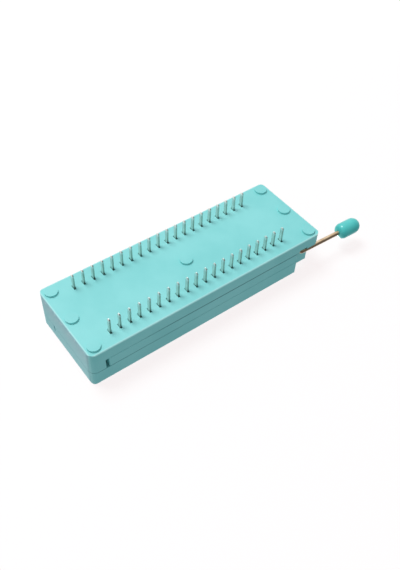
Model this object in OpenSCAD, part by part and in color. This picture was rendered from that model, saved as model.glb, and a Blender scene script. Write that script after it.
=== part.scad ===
// Universal 40-way dual-in-line zero-insertion-force socket with a wire lever.
// Origin: centre of the middle standoff's face, on the board's surface. +Z is up, away from the board,
// +X is towards the lever and +Y is the side on which the lever's arm lies.

/* [Pin field] */
// Contacts in each of the two rows
pins_per_row = 20; // [6:1:32]
// Distance from one contact to the next along a row
pitch = 2.54; // [2.4:0.01:3.2]
// Distance between the two rows of solder tails
row_span = 15.24; // [14.8:0.01:17]
// Length of a solder tail below the board's surface
tail_l = 3.76; // [2:0.01:6]
// Width of a solder tail, across the socket
tail_w = 0.8; // [0.5:0.01:1.2]
// Thickness of a solder tail, along the socket
tail_t = 0.4; // [0.3:0.01:0.5]

/* [Body] */
// Width of the base, slide and cover
body_w = 22.8; // [21.4:0.1:30]
// Thickness of the base plate
base_t = 3.3; // [2.6:0.1:5]
// From the last contact to the plain end of the base
plain_margin = 7.22; // [6:0.01:12]
// From the last contact to the lever end of the base
lever_margin = 10.12; // [9.8:0.01:14]
// Radius of the base's upright corners
corner_r = 1.8; // [0.8:0.1:3]
// Radius of the base's bottom edges
base_edge_r = 0.35; // [0.1:0.05:0.6]
// Plastic left under a contact's cavity
floor_t = 0.9; // [0.6:0.05:1.4]

/* [Standoffs] */
// Height of the round standoffs under the base
standoff_h = 0.5; // [0.2:0.05:1.2]
// Diameter of a standoff
standoff_d = 3.1; // [2:0.1:4]
// From each end of the base to the middle of its standoffs
standoff_end = 2.3; // [2:0.05:4]
// From each side of the base to the middle of its standoffs
standoff_side = 2.25; // [2.1:0.05:3]

/* [Slide] */
// Height of the slide's layer between base and cover
slide_t = 3; // [2.5:0.05:4]
// Travel of the slide from closed to open
travel = 0.8; // [0.6:0.05:0.85]
// Running gap above and below the slide
slide_gap = 0.1; // [0.05:0.01:0.15]
// Length along the socket of the windows that the contacts stand in
window_l = 1.94; // [1.8:0.01:2]
// From the last contact to the slide's end at the lever
slide_lead = 2.97; // [2.2:0.01:3.2]

/* [Cover] */
// Thickness of the cover above the slide
cover_t = 4.1; // [3.6:0.1:6]
// Radius of the cover's top edges
cover_edge_r = 0.6; // [0.2:0.05:1]
// From the last contact to the cover's end at the lever
cover_lead = 3.27; // [3:0.01:3.5]
// Length of the lower step that holds the lever's shaft down
step_l = 4.55; // [4.4:0.01:5]
// How far the step lies below the cover's top
step_drop = 1.4; // [0.8:0.1:1.8]
// Thickness of the cover's web, through which the lead-in slots pass
web_t = 1.3; // [0.9:0.05:2]
// Lead-in slot at the cover's top, along the socket
lead_in_l = 1.7; // [1.3:0.05:1.9]
// Throat of the lead-in slot, along the socket
throat_l = 0.75; // [0.6:0.05:1]

/* [Contacts] */
// Thickness of the contact's spring strip
strip_t = 0.2; // [0.15:0.01:0.24]
// Width of the two spring leaves, across the socket
leaf_w = 5.2; // [4.4:0.1:5.6]
// From the tail's middle to the leaf's outer edge
leaf_overhang = 0.78; // [0.6:0.02:1]
// From the middle of the contact to the middle of each leaf
leaf_half = 0.38; // [0.34:0.01:0.4]
// Gap between the leaves where they grip, closed with nothing in it
grip_gap = 0.3; // [0.1:0.01:0.4]

/* [Lever] */
// Diameter of the lever's wire
wire_d = 1.15; // [0.9:0.01:1.4]
// From the cover's end to the middle of the lever's shaft
shaft_lead = 1.2; // [1.1:0.01:1.5]
// Rise of the lever's arm when it is closed, in degrees
arm_rise = 3; // [0:0.5:5]
// From the shaft to the end of the knob nearest it
knob_start = 13.1; // [10:0.1:20]
// Length of the knob
knob_l = 7; // [5:0.1:12]
// Diameter of the knob
knob_d = 4.1; // [3:0.1:6]

/* [Hidden] */
$fn = 48;
tiny = 0.01;

// Body
field_l = (pins_per_row - 1) * pitch;
body_l = field_l + plain_margin + lever_margin;
field_x = -body_l / 2 + plain_margin + field_l / 2;
last_x = field_x + field_l / 2;
half_w = body_w / 2;
base_z = standoff_h;
base_top = base_z + base_t;
floor_z = base_z + floor_t;
cover_z = base_top + slide_t;
cover_top = cover_z + cover_t;
cover_end = last_x + cover_lead;
step_end = cover_end + step_l;
step_top = cover_top - step_drop;
standoff_x = body_l / 2 - standoff_end;
standoff_y = half_w - standoff_side;

// Contacts: two leaves on a folded strip, seated on the cavity's floor
leaf_outer_y = row_span / 2 + leaf_overhang;
leaf_inner_y = leaf_outer_y - leaf_w;
pocket_top = cover_top - web_t;
leaf_tip_gap = 0.2;
leaf_top = pocket_top - leaf_tip_gap;
flare_h = 0.8;
flare = 0.25;
grip_z = leaf_top - flare_h;
grip_half = (grip_gap + strip_t) / 2;
fold_r = 0.22;
fold_steps = 4;
leaf_outer_x = leaf_half + strip_t / 2;
cavity_side = 0.12;
cavity_y = 0.1;
rib_gap = 0.04;
tip_chamfer_t = 0.13;
tip_chamfer_w = 0.26;
tip_h = 0.35;

// Slots round the solder tails, open at both ends of the blade
tail_slot_side = 0.075;
tail_slot_end = 0.35;
tail_slot_l = tail_t + 2 * tail_slot_side;
tail_slot_w = tail_w + 2 * tail_slot_end;

// Slide: a window's left wall presses on a leaf when the socket is closed
window_x = -leaf_outer_x - rib_gap;
window_y = 0.2;
slide_z = base_top + slide_gap;
slide_top = cover_z - slide_gap;
slide_end = last_x + slide_lead;
end_spare = 0.1;
end_block_l = 3.6;
end_block_x = -body_l / 2 + end_block_l;
slide_start = end_block_x + travel + end_spare;
slide_corner_r = 0.3;
seam = 0.08;

// Lever's shaft, with a crank throw at 45 degrees that swings to 135
shaft_under = 0.075;
shaft_x = cover_end + shaft_lead;
shaft_z = base_top + wire_d / 2 + shaft_under;
throw_angle = 45;
throw = travel / 2 / cos(throw_angle);
throw_x = throw * cos(throw_angle);
throw_z = throw * sin(throw_angle);
bearing_fit = 0.08;
yoke_fit = 0.07;
crank_web_t = 0.6;
crank_web_d = wire_d + 0.06;
bend_r = 0.61 * wire_d;
arm_y = half_w - wire_d / 2;
arm_gap = 0.1;
step_half_w = arm_y - wire_d / 2 - arm_gap;
yoke_half_w = 4;
yoke_wall = 1.15;
yoke_roof = 0.1;
yoke_back = shaft_x + throw_x - wire_d / 2 - yoke_fit;
yoke_front = shaft_x + throw_x + wire_d / 2 + yoke_fit;
yoke_end = yoke_front + yoke_wall;
yoke_slot_top = shaft_z + throw + wire_d / 2 + yoke_roof;
throw_half_w = yoke_half_w + 0.3;
web_end_y = throw_half_w + crank_web_t;
crank_bay_half_w = web_end_y + 0.5;
crank_bay_end = yoke_end + 0.2;
crank_bay_top = cover_z + 0.1;
bearing_wall = 0.75;
shaft_blind_y = bearing_wall - step_half_w;
shaft_end_y = shaft_blind_y + 0.1;
arm_relief_back = 0.8;
arm_relief_front = 1.6;
arm_relief_h = 0.6;
step_edge_r = 0.5;
knob_wall = 1.5;
knob_bore_fit = 0.02;
knob_near_r = 0.27 * knob_d;
knob_far_r = 0.43 * knob_d;

// Posts that locate the cover on the base
post_d = 1.6;
guide_d = 2;
post_fit = 0.05;
post_depth = 1.8;
post_shoulder = 0.5;
end_post_x = end_block_x - end_block_l / 2;
end_post_y = 0.62 * half_w;
step_post_x = step_end - 1.3;
step_post_y = step_half_w - 2.1;
guide_spacing = 0.32 * field_l;
guide_xs = [field_x - guide_spacing, field_x, field_x + guide_spacing];

// Relief along the cover's middle for lifting out a chip, and a notch at the foot of its plain end
relief_w = 3.8;
relief_depth = 0.5;
end_notch = [0.3, 0.4, 1.7];
end_notch_y = -0.465 * half_w;
lead_in_depth = 0.75 * web_t;
lead_in_inset = 0.1;

plastic = [0.45, 0.86, 0.84];
tinned = [0.80, 0.80, 0.76];
wire_colour = [0.82, 0.70, 0.55];

function two(n) = n < 10 ? str("0", n) : str(n);
function contact_name(side, i) = str("contact_", side > 0 ? "a" : "b", two(i + 1));
function contact_x(i) = field_x + (i - (pins_per_row - 1) / 2) * pitch;

// ---------------------------------------------------------------- shapes

// Flat outline from corner a to corner b, with its corners rounded
module round_box(a, b, r) {
    translate(a + [r, 0]) square([b[0] - a[0] - 2 * r, b[1] - a[1]]);
    translate(a + [0, r]) square([b[0] - a[0], b[1] - a[1] - 2 * r]);
    for (x = [a[0] + r, b[0] - r], y = [a[1] + r, b[1] - r]) translate([x, y]) circle(r);
}

// Flat outline whose corners are rounded only along its top (end = 1) or its bottom (end = -1)
module one_edge_round(w0, w1, h0, h1, r, end) {
    straight = end > 0 ? [h0, h1 - r] : [h0 + r, h1];
    translate([w0, straight[0]]) square([w1 - w0, straight[1] - straight[0]]);
    translate([w0 + r, h0]) square([w1 - w0 - 2 * r, h1 - h0]);
    for (w = [w0 + r, w1 - r]) translate([w, end > 0 ? h1 - r : h0 + r]) circle(r);
}

// Outline in X and Z, carried along Y
module along_y(y0, y1) {
    translate([0, y1, 0]) rotate([90, 0, 0]) linear_extrude(y1 - y0) children();
}

// Outline in Y and Z, carried along X
module along_x(x0, x1) {
    translate([x0, 0, 0]) rotate([90, 0, 90]) linear_extrude(x1 - x0) children();
}

// Moulded block: rounded upright corners, and one set of level edges rounded
module moulded(lo, hi, plan_r, edge_r, end) {
    intersection() {
        translate([0, 0, lo[2]]) linear_extrude(hi[2] - lo[2])
            round_box([lo[0], lo[1]], [hi[0], hi[1]], plan_r);
        along_y(lo[1] - 1, hi[1] + 1) one_edge_round(lo[0], hi[0], lo[2], hi[2], edge_r, end);
        along_x(lo[0] - 1, hi[0] + 1) one_edge_round(lo[1], hi[1], lo[2], hi[2], edge_r, end);
    }
}

// Rectangular cell at every contact of both rows: x0 to x1 about the contact, y0 to y1 out from the middle
module contact_cells(x0, x1, y0, y1, z0, z1) {
    translate([0, 0, z0]) linear_extrude(z1 - z0)
        for (side = [0, 1], i = [0:pins_per_row - 1])
            mirror([0, side]) translate([contact_x(i) + x0, y0]) square([x1 - x0, y1 - y0]);
}

// Row of lead-in slots that narrow downwards on all four sides
module lead_ins() {
    y0 = leaf_inner_y + lead_in_inset;
    y1 = leaf_outer_y - lead_in_inset;
    spread = (lead_in_l - throat_l) / 2;
    low = pocket_top - tiny;
    top = cover_top + tiny;
    waist = top - lead_in_depth;
    for (side = [0, 1]) mirror([0, side, 0]) intersection() {
        along_y(y0 - pitch, y1 + pitch) for (i = [0:pins_per_row - 1]) translate([contact_x(i), 0])
            polygon([
                [-throat_l / 2, low], [throat_l / 2, low], [throat_l / 2, waist],
                [lead_in_l / 2, top], [-lead_in_l / 2, top], [-throat_l / 2, waist]
            ]);
        along_x(field_x - field_l / 2 - pitch, last_x + pitch) polygon([
            [y0, low], [y1, low], [y1, waist], [y1 + spread, top], [y0 - spread, top], [y0, waist]
        ]);
    }
}

// Slot with round ends along X, from the middle of one end to the middle of the other
module long_slot(x0, x1, y, d, z0, z1) {
    translate([0, 0, z0]) linear_extrude(z1 - z0) {
        translate([x0, y - d / 2]) square([x1 - x0, d]);
        for (x = [x0, x1]) translate([x, y]) circle(d = d);
    }
}

// Every place where the cover is located on the base: x, y, diameter
function cover_posts() = concat(
    [for (s = [-1, 1]) [end_post_x, s * end_post_y, post_d]],
    [for (s = [-1, 1]) [step_post_x, s * step_post_y, post_d]],
    [for (x = guide_xs) [x, 0, guide_d]]
);

// ---------------------------------------------------------------- base

module standoffs() {
    at_ends = [for (x = [-standoff_x, standoff_x], y = [-standoff_y, 0, standoff_y]) [x, y]];
    for (p = concat([[0, 0]], at_ends)) translate(p) cylinder(d = standoff_d, h = standoff_h + tiny);
}

// Upright block that closes the plain end of the slide's layer
module end_block() {
    intersection() {
        translate([0, 0, base_top - tiny]) linear_extrude(slide_t - seam + tiny)
            round_box([-body_l / 2, -half_w], [body_l / 2, half_w], corner_r);
        translate([-body_l, -body_w, 0]) cube([body_l + end_block_x, 2 * body_w, cover_top]);
    }
}

module base() color(plastic) {
    difference() {
        union() {
            moulded(
                [-body_l / 2, -half_w, base_z], [body_l / 2, half_w, base_top],
                corner_r, base_edge_r, -1
            );
            standoffs();
            end_block();
        }
        contact_cells(
            -leaf_outer_x - cavity_side, leaf_outer_x + cavity_side,
            leaf_inner_y - cavity_y, leaf_outer_y + cavity_y, floor_z, base_top + tiny
        );
        contact_cells(
            -tail_slot_l / 2, tail_slot_l / 2,
            row_span / 2 - tail_slot_w / 2, row_span / 2 + tail_slot_w / 2, base_z - tiny, floor_z + tiny
        );
        for (p = cover_posts()) {
            top = p[0] < end_block_x ? cover_z : base_top;
            translate([p[0], p[1], top - post_depth - 2 * post_fit])
                cylinder(d = p[2] + 2 * post_fit, h = post_depth + 1);
        }
        translate([shaft_x - arm_relief_back, step_half_w, base_top - arm_relief_h])
            cube([arm_relief_back + arm_relief_front, body_w, 1]);
    }
}

// ---------------------------------------------------------------- slide

// Tongue that the crank's throw pushes to and fro
module yoke() {
    difference() {
        translate([slide_end - 1, -yoke_half_w, slide_z])
            cube([yoke_end - slide_end + 1, 2 * yoke_half_w, slide_top - slide_z]);
        translate([yoke_back, -yoke_half_w - 1, slide_z - 1])
            cube([yoke_front - yoke_back, 2 * yoke_half_w + 2, yoke_slot_top - slide_z + 1]);
    }
}

module slide() color(plastic) {
    difference() {
        translate([0, 0, slide_z]) linear_extrude(slide_top - slide_z)
            round_box([slide_start, -half_w], [slide_end, half_w], slide_corner_r);
        contact_cells(
            window_x, window_x + window_l,
            leaf_inner_y - window_y, leaf_outer_y + window_y, slide_z - 1, slide_top + 1
        );
        for (x = guide_xs)
            long_slot(x, x + travel + post_fit, 0, guide_d + 2 * post_fit, slide_z - 1, slide_top + 1);
    }
    yoke();
}

// ---------------------------------------------------------------- cover

// Lower step at the lever end: it holds the shaft down and roofs the crank's bay
module shaft_step() {
    difference() {
        moulded(
            [cover_end - 2, -step_half_w, base_top], [step_end, step_half_w, step_top],
            step_edge_r, step_edge_r, 1
        );
        translate([cover_end - 3, -half_w, 0]) cube([3 - tiny, body_w, cover_z]);
        translate([cover_end - 3, -crank_bay_half_w, 0])
            cube([crank_bay_end - cover_end + 3, 2 * crank_bay_half_w, crank_bay_top]);
        translate([shaft_x, step_half_w + 1, shaft_z]) rotate([90, 0, 0])
            cylinder(d = wire_d + 2 * bearing_fit, h = step_half_w + 1 - shaft_blind_y);
        translate([shaft_x - wire_d / 2 - bearing_fit, shaft_blind_y, 0])
            cube([wire_d + 2 * bearing_fit, step_half_w + 1 - shaft_blind_y, shaft_z]);
    }
}

module cover_post(p) {
    down = p[0] < end_block_x ? cover_z : base_top;
    translate([p[0], p[1], down - post_depth]) cylinder(d = p[2], h = cover_z - down + post_depth + 1);
}

module cover() color(plastic) {
    difference() {
        moulded([-body_l / 2, -half_w, cover_z], [cover_end, half_w, cover_top], corner_r, cover_edge_r, 1);
        contact_cells(
            window_x - travel, window_x + lead_in_l,
            leaf_inner_y - window_y, leaf_outer_y + window_y, cover_z - 1, pocket_top
        );
        lead_ins();
        long_slot(
            field_x - field_l / 2, last_x, 0, relief_w,
            cover_top - relief_depth, cover_top + 1
        );
        translate([-body_l / 2 - 1, end_notch_y, cover_z - 1]) cube(end_notch + [1, 0, 1]);
    }
    shaft_step();
    for (p = cover_posts()) cover_post(p);
    for (s = [-1, 1]) translate([end_post_x, s * end_post_y, cover_z - seam])
        cylinder(d = post_d + 2 * post_shoulder, h = seam + tiny);
}

// ---------------------------------------------------------------- contacts

function unit(v) = v / norm(v);
function side_of(p, i) = let (d = unit(p[i + 1] - p[i])) [-d[1], d[0]];
function mitre(p, i) =
    i == 0 ? side_of(p, 0)
    : i == len(p) - 1 ? side_of(p, i - 1)
    : let (m = unit(side_of(p, i - 1) + side_of(p, i))) m / (m * side_of(p, i));

// Outline of a strip of thickness t bent along the points p
function strip(p, t) = concat(
    [for (i = [0:len(p) - 1]) p[i] + mitre(p, i) * t / 2],
    [for (i = [len(p) - 1:-1:0]) p[i] - mitre(p, i) * t / 2]
);

// One leaf's centre line, from its flared tip to the middle of the fold
function leaf_line() = concat(
    [[grip_half + flare, leaf_top], [grip_half, grip_z], [leaf_half, slide_top]],
    [for (k = [0:fold_steps]) let (a = 90 * k / fold_steps) [
        leaf_half - fold_r + fold_r * cos(a),
        floor_z + strip_t / 2 + fold_r - fold_r * sin(a)
    ]]
);
function other_leaf() = let (p = leaf_line()) [for (i = [len(p) - 1:-1:0]) [-p[i][0], p[i][1]]];

// Square-edged blade with a pointed tip
module tail() {
    top = floor_z + strip_t / 2;
    intersection() {
        along_y(-tail_w, tail_w) polygon([
            [-tail_t / 2, top], [-tail_t / 2, tip_h - tail_l], [-tail_t / 2 + tip_chamfer_t, -tail_l],
            [tail_t / 2 - tip_chamfer_t, -tail_l], [tail_t / 2, tip_h - tail_l], [tail_t / 2, top]
        ]);
        along_x(-tail_t, tail_t) polygon([
            [-tail_w / 2, top], [-tail_w / 2, tip_h - tail_l], [-tail_w / 2 + tip_chamfer_w, -tail_l],
            [tail_w / 2 - tip_chamfer_w, -tail_l], [tail_w / 2, tip_h - tail_l], [tail_w / 2, top]
        ]);
    }
}

module contact(side, i) color(tinned) {
    translate([contact_x(i), 0, 0]) mirror([0, side > 0 ? 0 : 1, 0]) {
        along_y(leaf_inner_y, leaf_outer_y) polygon(strip(concat(leaf_line(), other_leaf()), strip_t));
        translate([0, row_span / 2, 0]) tail();
    }
}

// ---------------------------------------------------------------- lever

// Round wire along Y
module wire_along_y(y0, y1) {
    translate([0, y1, 0]) rotate([90, 0, 0]) cylinder(d = wire_d, h = y1 - y0);
}

// Pressed web that joins the shaft to the throw, at throw_angle from the arm
module crank_web(y0, y1) {
    rotate([0, -throw_angle, 0]) along_y(y0, y1) {
        for (x = [0, throw]) translate([x, 0]) circle(d = crank_web_d);
        translate([0, -crank_web_d / 2]) square([throw, crank_web_d]);
    }
}

module lever_wire() color(wire_colour) {
    translate([shaft_x, 0, shaft_z]) {
        wire_along_y(shaft_end_y, -throw_half_w - tiny);
        translate([throw_x, 0, throw_z]) wire_along_y(-throw_half_w - tiny, throw_half_w + tiny);
        crank_web(-web_end_y, -throw_half_w);
        crank_web(throw_half_w, web_end_y);
        rotate([0, -arm_rise, 0]) {
            wire_along_y(throw_half_w + tiny, arm_y - bend_r);
            translate([bend_r, arm_y - bend_r, 0]) rotate([0, 0, 90])
                rotate_extrude(angle = 90) translate([bend_r, 0]) circle(d = wire_d);
            translate([bend_r, arm_y, 0]) rotate([0, 90, 0])
                cylinder(d = wire_d, h = knob_start + knob_l - knob_wall - bend_r);
        }
    }
}

// Half outline of the knob, turned about the wire
module knob_outline() {
    r = knob_d / 2;
    intersection() {
        union() {
            translate([-r, knob_near_r]) square([2 * r, knob_l - knob_near_r - knob_far_r]);
            translate([-r + knob_near_r, 0]) square([2 * (r - knob_near_r), knob_l / 2]);
            translate([-r + knob_far_r, knob_l / 2]) square([2 * (r - knob_far_r), knob_l / 2]);
            for (s = [-1, 1]) translate([s * (r - knob_near_r), knob_near_r]) circle(knob_near_r);
            for (s = [-1, 1]) translate([s * (r - knob_far_r), knob_l - knob_far_r]) circle(knob_far_r);
        }
        square([2 * r, knob_l]);
    }
}

module lever_knob() color(plastic) {
    translate([shaft_x, arm_y, shaft_z]) rotate([0, 90 - arm_rise, 0]) translate([0, 0, knob_start])
        difference() {
            rotate_extrude() knob_outline();
            translate([0, 0, -1])
                cylinder(d = wire_d + 2 * knob_bore_fit, h = 1 + knob_l - knob_wall + knob_bore_fit);
        }
}

// ---------------------------------------------------------------- nodes

base();
slide();
cover();
lever_wire();
lever_knob();
for (side = [1, -1]) for (i = [0:pins_per_row - 1])
    contact(side, i);
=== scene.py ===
"""Looks of a zero-insertion-force chip socket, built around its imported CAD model.

Everything lies in the part's own frame: the board's surface is z = 0, the chip side faces +Z, and the lever
end is +X. Lengths are in millimetres where a comment says so and in metres elsewhere.
"""

import bmesh
import bpy
import numpy as np
from mathutils import Matrix, Vector


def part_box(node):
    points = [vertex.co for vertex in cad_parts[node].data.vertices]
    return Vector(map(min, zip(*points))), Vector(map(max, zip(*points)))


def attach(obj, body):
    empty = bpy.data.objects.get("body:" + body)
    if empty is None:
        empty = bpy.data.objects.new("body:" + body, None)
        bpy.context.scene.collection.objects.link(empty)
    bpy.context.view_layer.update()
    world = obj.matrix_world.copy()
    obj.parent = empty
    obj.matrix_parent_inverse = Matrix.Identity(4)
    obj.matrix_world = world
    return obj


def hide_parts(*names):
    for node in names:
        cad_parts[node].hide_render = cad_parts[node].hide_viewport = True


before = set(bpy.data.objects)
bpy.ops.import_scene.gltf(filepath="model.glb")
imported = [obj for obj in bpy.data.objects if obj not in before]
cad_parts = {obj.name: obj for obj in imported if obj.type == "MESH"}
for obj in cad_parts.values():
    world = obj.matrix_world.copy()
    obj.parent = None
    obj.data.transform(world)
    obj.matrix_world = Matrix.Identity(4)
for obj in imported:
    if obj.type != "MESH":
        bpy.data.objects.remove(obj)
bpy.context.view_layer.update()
MM = 0.001
QUARTER, WHOLE = 0.5 * np.pi, 2 * np.pi
WHITE = (1, 1, 1, 1)


# ---------------------------------------------------------------- shader expressions


class Wire:
    """An output socket of a node tree. Arithmetic on it adds Math nodes."""

    def __init__(self, tree, socket):
        self.tree, self.socket = tree, socket

    def node(self, kind, settings=None, out=0, **inputs):
        """Adds a node: its settings, then the values or links of its sockets. Gives one of its outputs."""
        made = self.tree.nodes.new("ShaderNode" + kind)
        for name, value in (settings or {}).items():
            setattr(made, name, value)
        for name, value in inputs.items():
            key = int(name[1:]) if name[0] == "i" and name[1:].isdigit() else name.replace("_", " ")
            if isinstance(value, Wire):
                self.tree.links.new(value.socket, made.inputs[key])
            else:
                made.inputs[key].default_value = value
        return Wire(self.tree, made.outputs[out])

    def maths(self, operation, a, b=0.0):
        return self.node("Math", {"operation": operation}, i0=a, i1=b)

    def __add__(self, other):
        return self.maths("ADD", self, other)

    __radd__ = __add__

    def __mul__(self, other):
        return self.maths("MULTIPLY", self, other)

    __rmul__ = __mul__

    def __sub__(self, other):
        return self.maths("SUBTRACT", self, other)

    def __rsub__(self, other):
        return self.maths("SUBTRACT", other, self)

    def most(self, other):
        return self.maths("MAXIMUM", self, other)

    def __abs__(self):
        return self.maths("ABSOLUTE", self)

    def step(self, low, high):
        """0 below low, 1 above high, smooth between; low may be the larger."""
        if low > high:
            return 1 - self.step(high, low)
        return self.node(
            "MapRange", {"interpolation_type": "SMOOTHSTEP"},
            Value=self, From_Min=low, From_Max=high,
        )

    def tint(self, a, b):
        """Colour a where this is 0 and colour b where it is 1."""
        return self.node("Mix", {"data_type": "RGBA"}, out=2, i0=self, i6=a, i7=b)


def rgb(r, g, b):
    """A colour given as it looks on a screen, 0 to 255, as a linear colour by the sRGB curve."""
    screen = (r / 255, g / 255, b / 255)
    return (*[c / 12.92 if c <= 0.04045 else ((c + 0.055) / 1.055) ** 2.4 for c in screen], 1.0)


def new_material(name):
    """Gives a material, its shader and an empty Wire to add the first nodes from."""
    material = bpy.data.materials.new(name)
    material.use_nodes = True
    tree = material.node_tree
    return material, tree.nodes["Principled BSDF"], Wire(tree, None)


def feed(shader, **inputs):
    """Sets or links sockets of a shader by name."""
    for name, value in inputs.items():
        socket = shader.inputs[name.replace("_", " ")]
        if isinstance(value, Wire):
            value.tree.links.new(value.socket, socket)
        else:
            socket.default_value = value


# ---------------------------------------------------------------- where things lie

# the ends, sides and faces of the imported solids, in millimetres, but TIPS and TOP in metres
PLAIN_END, LEVER_END = (c.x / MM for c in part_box("base"))
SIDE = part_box("base")[1].y / MM
STANDOFF = 0.5
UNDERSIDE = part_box("base")[0].z / MM + STANDOFF
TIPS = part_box("contact_a01")[0].z
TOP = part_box("cover")[1].z

# in millimetres: the cover's box takes in its shaft step, so its own end is found on the points that lie
# above that step
ABOVE_STEP = 10.0
cover_points = np.empty(len(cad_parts["cover"].data.vertices) * 3)
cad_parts["cover"].data.vertices.foreach_get("co", cover_points)
cover_points = cover_points.reshape(-1, 3) / MM
COVER_END = cover_points[cover_points[:, 2] > ABOVE_STEP, 0].max()

# in millimetres: the slide runs between the base and the cover with the same gap on each face
SLIDE_GAP = 0.1
COVER_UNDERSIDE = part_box("slide")[1].z / MM + SLIDE_GAP
JOINTS = (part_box("slide")[0].z / MM - SLIDE_GAP / 2, COVER_UNDERSIDE - SLIDE_GAP / 2)

# in millimetres: the rows of solder tails, and half a tail's width
ROW_HALF, BLADE_HALF = 7.62, 0.4

# in millimetres, but the arm's rise as an angle: the shaft's x and z, and the lever's arm and knob
SHAFT = (27.15, 4.45)
ARM_RISE = np.radians(3.0)
KNOB_START, KNOB_LENGTH, KNOB_RADIUS = 13.1, 7.0, 2.05
ARM_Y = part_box("lever_knob")[1].y / MM - KNOB_RADIUS

# ---------------------------------------------------------------- materials

# in millimetres: how far in from an edge each of three looks fades out, and how far in it is still full
EDGE_HIGHLIGHT_IN, FROST_AND_SHEEN_IN, SHEAR_IN = (0.5, 0.15), (0.25, 0.05), (0.1, 0.02)

# in millimetres: the heights where the plain end's painted sheen and its dust start to build up, and those
# between which the tails turn from plain to dipped
SHEEN_FROM, DUST_FROM = 8.0, 4.5
DIPPED = (-2.6, -3.3)


def place_in(start):
    """Object coordinates in metres."""
    return start.node("TexCoord", out="Object")


def axes(place):
    """x, y and z of a place, in millimetres."""
    return [place.node("SeparateXYZ", out=axis, Vector=place) * (1 / MM) for axis in "XYZ"]


def body_plastic():
    """Satin moulded turquoise: cloudy flow marks, a painted highlight on the underside's edges, and a
    frosted plain end with a painted grey sheen.
    """
    material, shader, start = new_material("turquoise_body")
    place = place_in(start)
    x, y, z = axes(place)
    clouds = start.node("TexNoise", Vector=place, Scale=70.0, Detail=3.0, Roughness=0.55)
    grain = start.node("TexNoise", Vector=place, Scale=2400.0, Detail=3.0, Roughness=0.65)
    specks = start.node("TexNoise", Vector=place, Scale=1500.0, Detail=2.0, Roughness=0.7)
    colour = clouds.step(0.3, 0.7).tint(rgb(128, 212, 211), rgb(140, 220, 219))

    # the underside's edges are painted a little paler: a painted highlight where the rounded edges catch the
    # light
    low = z.step(UNDERSIDE + 0.45, UNDERSIDE + 0.1)
    sides = abs(y).step(*(SIDE - inset for inset in EDGE_HIGHLIGHT_IN))
    ends = abs(x).step(*(LEVER_END - inset for inset in EDGE_HIGHLIGHT_IN))
    edge_highlight = sides.most(ends) * low * (0.3 + 0.4 * specks)
    colour = edge_highlight.tint(colour, rgb(205, 246, 243))

    # the plain end is frosted, so rougher, and painted with a grey sheen, most of all towards the underside
    frost_and_sheen = x.step(*(PLAIN_END + inset for inset in FROST_AND_SHEEN_IN))
    painted_sheen = frost_and_sheen * (0.35 + 0.45 * z.step(SHEEN_FROM, UNDERSIDE) + 0.25 * clouds)
    colour = painted_sheen.tint(colour, rgb(150, 194, 200))
    dust = specks.step(0.6, 0.7) * frost_and_sheen * z.step(DUST_FROM, 1.0)
    colour = (0.75 * dust).tint(colour, rgb(228, 240, 240))

    # painted shade in the two joints, darkening the surface where the gaps between the parts lie in shade:
    # the base's towards the lever end, the cover's towards the plain end
    lower_joint_shade = abs(z - JOINTS[0]).step(0.2, 0.08) * x.step(-24.0, -8.0)
    upper_joint_shade = abs(z - JOINTS[1]).step(0.16, 0.06) * x.step(-2.0, -12.0)
    joint_shade = (0.75 * lower_joint_shade).most(0.4 * upper_joint_shade) * (0.5 + 0.5 * clouds)
    colour = joint_shade.tint(colour, rgb(38, 100, 104))

    bump = start.node("Bump", Strength=0.35, Distance=0.00002, Height=grain + 0.4 * clouds)
    rough = 0.40 + 0.12 * grain + 0.32 * frost_and_sheen
    feed(shader, Base_Color=colour, Roughness=rough, Normal=bump, IOR=1.47)
    return material


def knob_plastic():
    """The same turquoise, moulded smooth: darker, glossy, with faint drag lines along the knob."""
    material, shader, start = new_material("turquoise_knob")
    place = place_in(start)
    clouds = start.node("TexNoise", Vector=place, Scale=220.0, Detail=2.0, Roughness=0.5)
    drag = start.node("Mapping", {"vector_type": "POINT"}, Vector=place, Scale=(0.12, 1.0, 1.0))
    lines = start.node("TexNoise", Vector=drag, Scale=2600.0, Detail=2.0, Roughness=0.6)
    colour = clouds.step(0.3, 0.7).tint(rgb(72, 196, 192), rgb(88, 208, 203))
    bump = start.node("Bump", Strength=0.2, Distance=0.00001, Height=lines)
    feed(shader, Base_Color=colour, Roughness=0.2 + 0.1 * lines, Normal=bump, IOR=1.49)
    return material


def tinned_metal():
    """Tin over spring bronze: bright dipped ends, dull sheared sides and a mottled satin face."""
    material, shader, start = new_material("tinned_contact")
    place = place_in(start)
    _, y, z = axes(place)
    along = start.node("Mapping", {"vector_type": "POINT"}, Vector=place, Scale=(1.0, 1.0, 0.15))
    streaks = start.node("TexNoise", Vector=along, Scale=3800.0, Detail=3.0, Roughness=0.6)
    mottle = start.node("TexNoise", Vector=place, Scale=900.0, Detail=2.0)
    colour = streaks.step(0.35, 0.65).tint(rgb(202, 204, 198), rgb(232, 231, 226))
    across_blade = abs(abs(y) - ROW_HALF)
    sheared = across_blade.step(*(BLADE_HALF - inset for inset in SHEAR_IN))
    colour = (0.4 * sheared).tint(colour, rgb(140, 132, 114))
    dipped = z.step(*DIPPED)
    colour = (0.85 * dipped).tint(colour, rgb(240, 240, 236))
    bump = start.node("Bump", Strength=0.25, Distance=0.00001, Height=streaks)
    feed(shader, Base_Color=colour, Metallic=1.0, Roughness=0.24 + 0.16 * mottle + 0.1 * dipped, Normal=bump)
    return material


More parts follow.
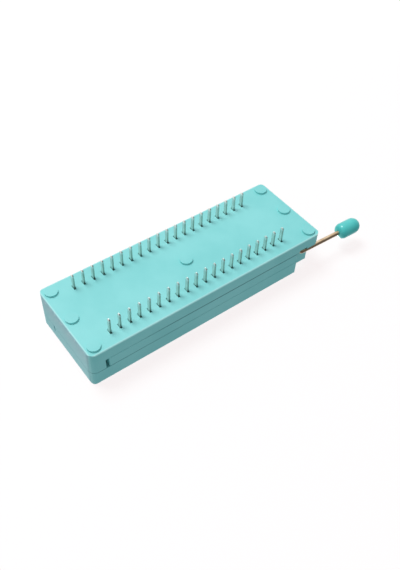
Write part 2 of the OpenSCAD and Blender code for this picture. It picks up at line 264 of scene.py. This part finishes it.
def drawn_wire():
    """Copper-gold wire with die lines along it and darker patches of tarnish."""
    material, shader, start = new_material("drawn_wire")
    place = place_in(start)
    along = start.node("Mapping", {"vector_type": "POINT"}, Vector=place, Scale=(0.06, 1.0, 1.0))
    lines = start.node("TexNoise", Vector=along, Scale=5200.0, Detail=2.0, Roughness=0.6)
    tarnish = start.node("TexNoise", Vector=place, Scale=420.0, Detail=3.0, Roughness=0.6)
    colour = lines.step(0.35, 0.65).tint(rgb(206, 176, 140), rgb(232, 210, 180))
    colour = (0.55 * tarnish.step(0.5, 0.75)).tint(colour, rgb(150, 116, 84))
    bump = start.node("Bump", Strength=0.25, Distance=0.00001, Height=lines)
    feed(shader, Base_Color=colour, Metallic=1.0, Roughness=0.2 + 0.12 * tarnish, Normal=bump)
    return material


BODY, KNOB, TINNED, WIRE = body_plastic(), knob_plastic(), tinned_metal(), drawn_wire()


def wear(mesh, material):
    """Gives a mesh one material and no other."""
    mesh.materials.clear()
    mesh.materials.append(material)


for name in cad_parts:
    own = {"lever_wire": WIRE, "lever_knob": KNOB}.get(name, BODY)
    wear(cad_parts[name].data, TINNED if name.startswith("contact") else own)

# ---------------------------------------------------------------- new pieces

SAME_POINT, NO_LENGTH = 1e-7, 1e-8
EDGE_STEPS, ARC_STEPS = 9, 13


def close(mesh):
    """Merges coincident points, drops faces with no area and turns every face outwards."""
    work = bmesh.new()
    work.from_mesh(mesh)
    bmesh.ops.remove_doubles(work, verts=work.verts, dist=SAME_POINT)
    bmesh.ops.dissolve_degenerate(work, edges=work.edges, dist=NO_LENGTH)
    bmesh.ops.recalc_face_normals(work, faces=work.faces)
    work.to_mesh(mesh)
    work.free()
    mesh.update()


def tube(rings):
    """Quads between neighbouring rings, from how many rings there are and the points in each."""
    levels, count = rings
    k = np.arange(count)
    following = (k + 1) % count
    first = (np.arange(levels - 1) * count)[:, None]
    corners = [first + k, first + following, first + count + following, first + count + k]
    return np.stack(corners, axis=-1).reshape(-1, 4).tolist()


def new_piece(name, points, faces, material, smooth=False):
    """Makes an object at the origin from points in millimetres."""
    mesh = bpy.data.meshes.new(name)
    mesh.from_pydata((points.reshape(-1, 3) * MM).tolist(), [], faces)
    close(mesh)
    if smooth:
        mesh.polygons.foreach_set("use_smooth", np.ones(len(mesh.polygons), dtype=bool))
    wear(mesh, material)
    piece = bpy.data.objects.new(name, mesh)
    bpy.context.scene.collection.objects.link(piece)
    return piece


def cover_corner(name, side):
    """Fills the cover's rounded corner out to a crisp one.

    At each height the ring runs along the side, round a small arc and along the end, then back just inside
    the large arc that the cover already has. Each arc is x = x0 + r * sin(t), y = y0 + r * cos(t). Near the
    top both straight runs step in by e = r - sqrt(r^2 - (z - z0)^2), the same quarter circle that rounds the
    cover's top edge. Lengths are in millimetres.
    """
    large, small, edge, sunk = 1.8, 0.35, 0.6, 0.03
    end, flank = COVER_END, SIDE
    low, high = COVER_UNDERSIDE, TOP / MM
    bend = high - edge
    heights = np.concatenate([[low], bend + edge * np.sin(np.linspace(0, QUARTER, EDGE_STEPS))])
    inset = edge - np.sqrt(np.maximum(edge**2 - np.maximum(heights - bend, 0) ** 2, 0))
    turn = np.linspace(0, QUARTER, ARC_STEPS)
    out_x = end - small + small * np.sin(turn)
    out_y = flank - small + small * np.cos(turn)
    back_x = end - large + (large - sunk) * np.sin(turn[::-1])
    back_y = flank - large + (large - sunk) * np.cos(turn[::-1])
    ring_x = np.concatenate([[end - large], out_x, [end], back_x])
    ring_y = np.concatenate([[flank], out_y, [flank - large], back_y])
    xs = np.minimum(ring_x[None, :], (end - inset)[:, None])
    ys = np.minimum(ring_y[None, :], (flank - inset)[:, None])
    zs = np.repeat(heights[:, None], ring_x.size, axis=1)
    levels, count = zs.shape
    foot = np.arange(count)
    lids = [foot.tolist(), (foot + (levels - 1) * count).tolist()]
    points = np.stack([xs, side * ys, zs], axis=-1)
    piece = new_piece(name, points, tube(zs.shape) + lids, BODY)
    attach(piece, "socket")


cover_corner("cover_corner_arm_side", 1)
cover_corner("cover_corner_far_side", -1)


def knob():
    """Surface of revolution about the lever's arm.

    The radius follows a superellipse quarter at each end, r = R * (1 - (1 - s / e)^p)^(1 / p) over the end's
    length e, times the swell 1 - w * cos(pi * s / L)^2 over the whole length L. The inner end starts where r
    reaches the mouth's radius, and it is closed flat there, inside the wire. Lengths are in millimetres.
    """
    length, radius, inner, outer, mouth = KNOB_LENGTH, KNOB_RADIUS, 1.6, 2.2, 0.5
    inner_power, outer_power, waist = 2.5, 2.25, 0.012
    inner_steps, middle_steps, outer_steps, around = 20, 14, 26, 64
    s = np.unique(np.concatenate([
        inner * (1 - np.cos(np.linspace(0, QUARTER, inner_steps))),
        np.linspace(inner, length - outer, middle_steps),
        length - outer * (1 - np.cos(np.linspace(0, QUARTER, outer_steps))),
    ]).round(6))
    near = np.clip(1 - s / inner, 0, 1)
    far = np.clip(1 - (length - s) / outer, 0, 1)
    swell = 1 - waist * np.cos(np.pi * s / length) ** 2
    r = radius * swell * (1 - near**inner_power) ** (1 / inner_power)
    r = r * (1 - far**outer_power) ** (1 / outer_power)
    kept = (s >= inner) | (r >= mouth)
    s, r = s[kept], r[kept]
    s, r = np.concatenate([s[:1], s]), np.concatenate([[0.0], r])
    r[-1] = 0.0
    angle = np.linspace(0, WHOLE, around, endpoint=False)
    along = np.array([np.cos(ARM_RISE), 0, np.sin(ARM_RISE)])
    upright = np.array([-np.sin(ARM_RISE), 0, np.cos(ARM_RISE)])
    across = np.array([0, 1.0, 0])
    arm = np.array([SHAFT[0], ARM_Y, SHAFT[1]])
    ring = np.cos(angle)[:, None] * across + np.sin(angle)[:, None] * upright
    points = arm + (KNOB_START + s)[:, None, None] * along + r[:, None, None] * ring[None]
    piece = new_piece("rounded_knob", points, tube((s.size, angle.size)), KNOB, smooth=True)
    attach(piece, "lever")
    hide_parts("lever_knob")


knob()

# ---------------------------------------------------------------- stage, light and camera

SHEET_HALF, SHEET_DENSITY = 3.0, 0.2
# how far from the origin the sheets start to turn from tinted to white, and how far out they are white
TINTED, CLEAN = 0.10, 0.45


def one_sided_floor(name, height, faces_up):
    """A wide sheet that only the camera sees, and only from the side that it faces.

    It is mostly clear, so what lies beyond it, such as the raised lever, still shows through, and the faint
    part that is left holds the shadow.
    """
    corners = [(SHEET_HALF * x, SHEET_HALF * y, height) for x, y in ((-1, -1), (1, -1), (1, 1), (-1, 1))]
    mesh = bpy.data.meshes.new(name)
    mesh.from_pydata(corners, [], [(0, 1, 2, 3) if faces_up else (3, 2, 1, 0)])
    obj = bpy.data.objects.new(name, mesh)
    bpy.context.scene.collection.objects.link(obj)
    material, shader, start = new_material(name)
    reach = start.node("VectorMath", {"operation": "LENGTH"}, out="Value", i0=place_in(start))
    glow = reach.step(TINTED, CLEAN).tint((0.40, 0.0, 0.0, 1), WHITE)
    feed(shader, Base_Color=(0.75, 1.0, 1.0, 1), Roughness=0.9, Specular_IOR_Level=0.0)
    feed(shader, Emission_Color=glow, Emission_Strength=1.0)
    back = start.node("NewGeometry", out="Backfacing")
    clear = start.node("BsdfTransparent")
    clearness = 1 - (1 - back) * SHEET_DENSITY
    both = start.node("MixShader", i0=clearness, i1=Wire(start.tree, shader.outputs["BSDF"]), i2=clear)
    start.tree.links.new(both.socket, start.tree.nodes["Material Output"].inputs["Surface"])
    mesh.materials.append(material)
    for flag in ("diffuse", "glossy", "transmission", "shadow", "volume_scatter"):
        setattr(obj, "visible_" + flag, False)


one_sided_floor("floor_under_tails", TIPS, True)
one_sided_floor("floor_under_cover", TOP, False)


def soft_light(name, place, target, size, power):
    """A square lamp that the camera does not see, aimed at a target."""
    data = bpy.data.lights.new(name, "AREA")
    data.shape, data.size, data.energy = "SQUARE", size, power
    lamp = bpy.data.objects.new(name, data)
    bpy.context.scene.collection.objects.link(lamp)
    lamp.location = place
    lamp.rotation_mode = "QUATERNION"
    lamp.rotation_quaternion = (Vector(target) - Vector(place)).to_track_quat("-Z", "Y")
    lamp.visible_camera = False


# one lamp for each side of the socket, with its power in watts
KEY_PLACE, KEY_TARGET, KEY_SIZE, KEY_POWER = (-0.12, -0.30, 0.74), (0, 0, 0.005), 0.34, 4.15
for sign, label in ((-1, "tail_side"), (1, "chip_side")):
    soft_light("key_" + label, (*KEY_PLACE[:2], sign * KEY_PLACE[2]), KEY_TARGET, KEY_SIZE, KEY_POWER)

# the air is white to the camera, even and faintly blue as light, and to glossy rays brighter towards -Y
AIR, SHEEN_LOW, SHEEN_HIGH = 0.46, 0.12, 1.0
SHEEN_BAND = (0.75, -0.15)
world = bpy.data.worlds.new("studio")
world.use_nodes = True
bpy.context.scene.world = world
air = Wire(world.node_tree, None)
camera_ray, glossy_ray = (air.node("LightPath", out=f"Is {kind} Ray") for kind in ("Camera", "Glossy"))
heading = air.node("TexCoord", out="Generated")
across = air.node("SeparateXYZ", out="Y", Vector=heading)
sheen = SHEEN_LOW + (SHEEN_HIGH - SHEEN_LOW) * across.step(*SHEEN_BAND)
seen_white = air.node("Background", Color=WHITE, Strength=1.0)
for_gloss = air.node("Background", Color=WHITE, Strength=sheen)
for_light = air.node("Background", Color=(0.95, 1.0, 1.05, 1), Strength=AIR)
lit = air.node("MixShader", i0=glossy_ray, i1=for_light, i2=for_gloss)
both = air.node("MixShader", i0=camera_ray, i1=lit, i2=seen_white)
world.node_tree.links.new(both.socket, world.node_tree.nodes["World Output"].inputs["Surface"])

# camera's right, down and forward directions, and its place
RIGHT = (0.8015271, 0.5969466, -0.0347701)
DOWN = (-0.4295541, 0.6152685, 0.6610053)
FORWARD = (0.4159778, -0.5148780, 0.7495753)
CAMERA_PLACE = (-66.803 * MM, 88.372 * MM, -116.388 * MM)

# the focal length in the unit of the image's long side, and the sensor's width in millimetres
FOCAL, LONG_SIDE = 686.103, 570
SENSOR = 36.0

camera = bpy.data.objects.new("camera", bpy.data.cameras.new("camera"))
bpy.context.scene.collection.objects.link(camera)
camera.data.sensor_width = SENSOR
camera.data.lens = SENSOR * FOCAL / LONG_SIDE
camera.data.clip_start, camera.data.clip_end = 0.01, 20.0
turn = Matrix([RIGHT, [-v for v in DOWN], [-v for v in FORWARD]]).transposed()
camera.matrix_world = Matrix.Translation(CAMERA_PLACE) @ turn.to_4x4()
bpy.context.scene.camera = camera
bpy.context.scene.view_settings.view_transform = "Standard"

bpy.context.view_layer.update()
